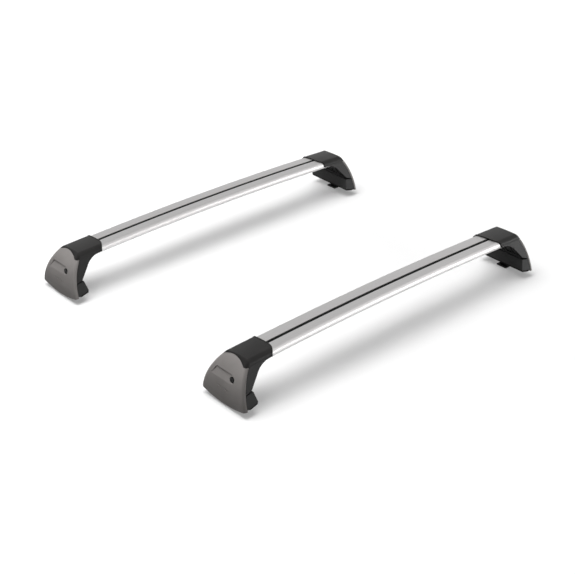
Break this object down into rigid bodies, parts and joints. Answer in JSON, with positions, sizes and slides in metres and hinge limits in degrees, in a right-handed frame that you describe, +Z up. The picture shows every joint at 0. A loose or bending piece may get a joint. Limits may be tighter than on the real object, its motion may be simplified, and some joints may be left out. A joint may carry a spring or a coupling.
{
  "type": "pair of roof crossbars",
  "caption": "Pair of cambered aerofoil roof crossbars, each clamped at both ends by an arched foot with a sleeve cover, a locked end cover and a hook under the roof edge.",
  "frame": {"origin": "on the floor under the middle of the pair, halfway between the two bars", "axes": "+X along the bars towards the vehicle's left side, -Y towards the vehicle's front, +Z up"},
  "size_m": [1.1286, 0.933, 0.1482],
  "materials": {
    "bar_metal": "satin anodised extrusion",
    "strip_rubber": "matt extruded rubber",
    "cast_metal": "black coated casting",
    "cover_plastic": "satin black moulding",
    "end_plastic": "fine-textured graphite moulding",
    "lock_plastic": "black moulding",
    "lock_metal": "dark plated lock barrel",
    "zinc_steel": "zinc plated",
    "base_plastic": "dark grey moulding",
    "pad_rubber": "matt moulded rubber",
    "hook_metal": "black coated steel strap"
  },
  "bodies": {
    "bars": {"front_bar": "bar_metal", "rear_bar": "bar_metal", "infill_strips": "strip_rubber", "nut_blocks": "zinc_steel"},
    "front_left_foot": {"front_left_leg": "cast_metal", "front_left_lock_keeper": "zinc_steel", "front_left_foot_cover": "cover_plastic", "front_left_cover_screws": "zinc_steel", "front_left_base": "base_plastic", "front_left_base_bolts": "zinc_steel", "front_left_roof_pad": "pad_rubber", "front_left_clamp_hook": "hook_metal", "front_left_clamp_bolt": "zinc_steel"},
    "front_left_screw": {"front_left_tension_bolt": "zinc_steel"},
    "front_left_end": {"front_left_end_cover": "end_plastic", "front_left_lock_bezel": "lock_plastic"},
    "front_left_lock": {"front_left_lock_barrel": "lock_metal", "front_left_lock_cam": "zinc_steel"},
    "front_right_foot": {"front_right_leg": "cast_metal", "front_right_lock_keeper": "zinc_steel", "front_right_foot_cover": "cover_plastic", "front_right_cover_screws": "zinc_steel", "front_right_base": "base_plastic", "front_right_base_bolts": "zinc_steel", "front_right_roof_pad": "pad_rubber", "front_right_clamp_hook": "hook_metal", "front_right_clamp_bolt": "zinc_steel"},
    "front_right_screw": {"front_right_tension_bolt": "zinc_steel"},
    "front_right_end": {"front_right_end_cover": "end_plastic", "front_right_lock_bezel": "lock_plastic"},
    "front_right_lock": {"front_right_lock_barrel": "lock_metal", "front_right_lock_cam": "zinc_steel"},
    "rear_left_foot": {"rear_left_leg": "cast_metal", "rear_left_lock_keeper": "zinc_steel", "rear_left_foot_cover": "cover_plastic", "rear_left_cover_screws": "zinc_steel", "rear_left_base": "base_plastic", "rear_left_base_bolts": "zinc_steel", "rear_left_roof_pad": "pad_rubber", "rear_left_clamp_hook": "hook_metal", "rear_left_clamp_bolt": "zinc_steel"},
    "rear_left_screw": {"rear_left_tension_bolt": "zinc_steel"},
    "rear_left_end": {"rear_left_end_cover": "end_plastic", "rear_left_lock_bezel": "lock_plastic"},
    "rear_left_lock": {"rear_left_lock_barrel": "lock_metal", "rear_left_lock_cam": "zinc_steel"},
    "rear_right_foot": {"rear_right_leg": "cast_metal", "rear_right_lock_keeper": "zinc_steel", "rear_right_foot_cover": "cover_plastic", "rear_right_cover_screws": "zinc_steel", "rear_right_base": "base_plastic", "rear_right_base_bolts": "zinc_steel", "rear_right_roof_pad": "pad_rubber", "rear_right_clamp_hook": "hook_metal", "rear_right_clamp_bolt": "zinc_steel"},
    "rear_right_screw": {"rear_right_tension_bolt": "zinc_steel"},
    "rear_right_end": {"rear_right_end_cover": "end_plastic", "rear_right_lock_bezel": "lock_plastic"},
    "rear_right_lock": {"rear_right_lock_barrel": "lock_metal", "rear_right_lock_cam": "zinc_steel"}
  },
  "joints": [
    {"name": "front_left_foot_slide", "type": "slide", "parent": "bars", "child": "front_left_foot", "axis": [0.9992, 0, -0.04], "range_m": [-0.005, 0.015]},
    {"name": "front_left_screw_turn", "type": "hinge", "parent": "front_left_foot", "child": "front_left_screw", "pos_m": [0.51276, -0.418, 0.12438], "axis": [0.9992, 0, -0.04], "range_deg": [-1450, 4330]},
    {"name": "front_left_end_cover_pull", "type": "slide", "parent": "front_left_foot", "child": "front_left_end", "axis": [0.9992, 0, -0.04], "range_m": [0, 0.06]},
    {"name": "front_left_lock_turn", "type": "hinge", "parent": "front_left_end", "child": "front_left_lock", "pos_m": [0.54283, -0.4035, 0.08314], "axis": [0.9992, 0, -0.04], "range_deg": [0, 90]},
    {"name": "front_right_foot_slide", "type": "slide", "parent": "bars", "child": "front_right_foot", "axis": [-0.9992, 0, -0.04], "range_m": [-0.005, 0.015]},
    {"name": "front_right_screw_turn", "type": "hinge", "parent": "front_right_foot", "child": "front_right_screw", "pos_m": [-0.51276, -0.418, 0.12438], "axis": [-0.9992, 0, -0.04], "range_deg": [-1450, 4330]},
    {"name": "front_right_end_cover_pull", "type": "slide", "parent": "front_right_foot", "child": "front_right_end", "axis": [-0.9992, 0, -0.04], "range_m": [0, 0.06]},
    {"name": "front_right_lock_turn", "type": "hinge", "parent": "front_right_end", "child": "front_right_lock", "pos_m": [-0.54283, -0.4035, 0.08314], "axis": [0.9992, 0, 0.04], "range_deg": [0, 90]},
    {"name": "rear_left_foot_slide", "type": "slide", "parent": "bars", "child": "rear_left_foot", "axis": [0.9992, 0, -0.04], "range_m": [-0.005, 0.015]},
    {"name": "rear_left_screw_turn", "type": "hinge", "parent": "rear_left_foot", "child": "rear_left_screw", "pos_m": [0.51276, 0.34, 0.12438], "axis": [0.9992, 0, -0.04], "range_deg": [-1450, 4330]},
    {"name": "rear_left_end_cover_pull", "type": "slide", "parent": "rear_left_foot", "child": "rear_left_end", "axis": [0.9992, 0, -0.04], "range_m": [0, 0.06]},
    {"name": "rear_left_lock_turn", "type": "hinge", "parent": "rear_left_end", "child": "rear_left_lock", "pos_m": [0.54283, 0.3545, 0.08314], "axis": [0.9992, 0, -0.04], "range_deg": [0, 90]},
    {"name": "rear_right_foot_slide", "type": "slide", "parent": "bars", "child": "rear_right_foot", "axis": [-0.9992, 0, -0.04], "range_m": [-0.005, 0.015]},
    {"name": "rear_right_screw_turn", "type": "hinge", "parent": "rear_right_foot", "child": "rear_right_screw", "pos_m": [-0.51276, 0.34, 0.12438], "axis": [-0.9992, 0, -0.04], "range_deg": [-1450, 4330]},
    {"name": "rear_right_end_cover_pull", "type": "slide", "parent": "rear_right_foot", "child": "rear_right_end", "axis": [-0.9992, 0, -0.04], "range_m": [0, 0.06]},
    {"name": "rear_right_lock_turn", "type": "hinge", "parent": "rear_right_end", "child": "rear_right_lock", "pos_m": [-0.54283, 0.3545, 0.08314], "axis": [0.9992, 0, 0.04], "range_deg": [0, 90]}
  ],
  "couplings": [
    {"joint": "front_left_screw_turn", "follows": "front_left_foot_slide", "rad_per_m": 5026.5},
    {"joint": "front_right_screw_turn", "follows": "front_right_foot_slide", "rad_per_m": 5026.5},
    {"joint": "rear_left_screw_turn", "follows": "rear_left_foot_slide", "rad_per_m": 5026.5},
    {"joint": "rear_right_screw_turn", "follows": "rear_right_foot_slide", "rad_per_m": 5026.5}
  ]
}
